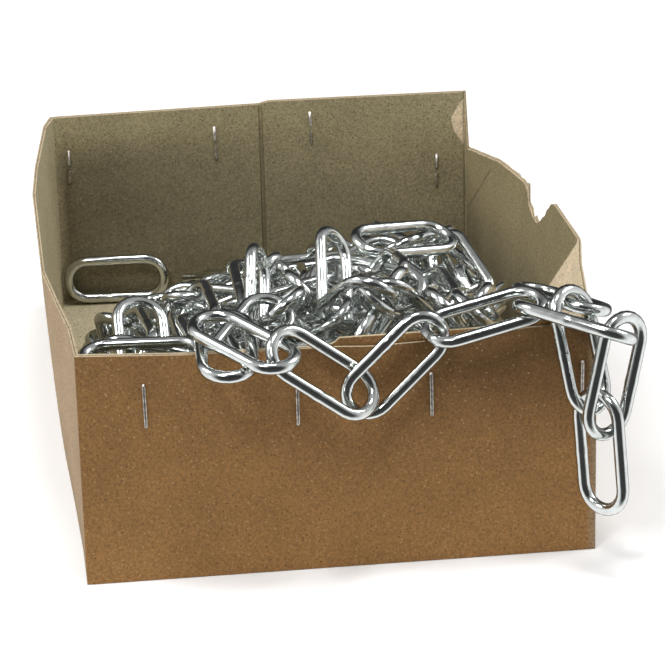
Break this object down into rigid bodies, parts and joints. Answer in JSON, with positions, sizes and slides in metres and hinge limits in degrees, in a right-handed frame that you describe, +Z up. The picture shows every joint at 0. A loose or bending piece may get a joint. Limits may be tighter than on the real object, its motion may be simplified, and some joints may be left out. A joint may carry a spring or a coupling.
{
  "type": "boxed steel chain heap",
  "caption": "Open folded carton filled with a loose heap of long-link zinc-plated steel chain, a few links hanging over its front edge.",
  "frame": {"origin": "middle of the carton's underside", "axes": "+Z up, -Y out of the front panel that the chain hangs over, +X to the right seen from the front"},
  "size_m": [0.1863, 0.2933, 0.0922],
  "materials": {
    "carton_board": "matte brown solid board with fine specks, grey-green inside",
    "stitching_wire": "dull flattened stitching wire",
    "zinc_chain": "bright zinc plate",
    "hidden_chain": "zinc plate in shadow"
  },
  "bodies": {
    "root": {"back_stitch_1": "stitching_wire", "back_stitch_2": "stitching_wire", "back_stitch_3": "stitching_wire", "back_stitch_4": "stitching_wire", "carton": "carton_board", "chain_core": "hidden_chain", "edge_link": "zinc_chain", "front_stitch_1": "stitching_wire", "front_stitch_2": "stitching_wire", "front_stitch_3": "stitching_wire", "front_stitch_4": "stitching_wire", "heap_link_1": "zinc_chain", "heap_link_2": "zinc_chain", "heap_link_3": "zinc_chain", "heap_link_4": "zinc_chain", "heap_link_5": "zinc_chain", "heap_link_6": "zinc_chain", "heap_link_7": "zinc_chain", "spill_link_1": "zinc_chain", "spill_link_2": "zinc_chain", "spill_link_3": "zinc_chain", "spill_link_4": "zinc_chain", "spill_link_5": "zinc_chain", "spill_link_6": "zinc_chain", "spill_link_7": "zinc_chain", "spill_link_8": "zinc_chain", "spill_link_9": "zinc_chain", "standing_link": "zinc_chain", "strand_a_link_01": "zinc_chain", "strand_a_link_02": "zinc_chain", "strand_a_link_03": "zinc_chain", "strand_a_link_04": "zinc_chain", "strand_a_link_05": "zinc_chain", "strand_a_link_06": "zinc_chain", "strand_a_link_07": "zinc_chain", "strand_a_link_08": "zinc_chain", "strand_a_link_09": "zinc_chain", "strand_a_link_10": "zinc_chain", "strand_b_link_01": "zinc_chain", "strand_b_link_02": "zinc_chain", "strand_b_link_03": "zinc_chain", "strand_b_link_04": "zinc_chain", "strand_b_link_05": "zinc_chain", "strand_b_link_06": "zinc_chain", "strand_b_link_07": "zinc_chain", "strand_b_link_08": "zinc_chain", "strand_b_link_09": "zinc_chain", "strand_b_link_10": "zinc_chain", "strand_c_link_01": "zinc_chain", "strand_c_link_02": "zinc_chain", "strand_c_link_03": "zinc_chain", "strand_d_link_01": "zinc_chain", "strand_d_link_02": "zinc_chain", "strand_d_link_03": "zinc_chain", "strand_d_link_04": "zinc_chain", "strand_d_link_05": "zinc_chain", "strand_d_link_06": "zinc_chain", "strand_e_link_01": "zinc_chain", "strand_e_link_02": "zinc_chain"}
  },
  "joints": []
}
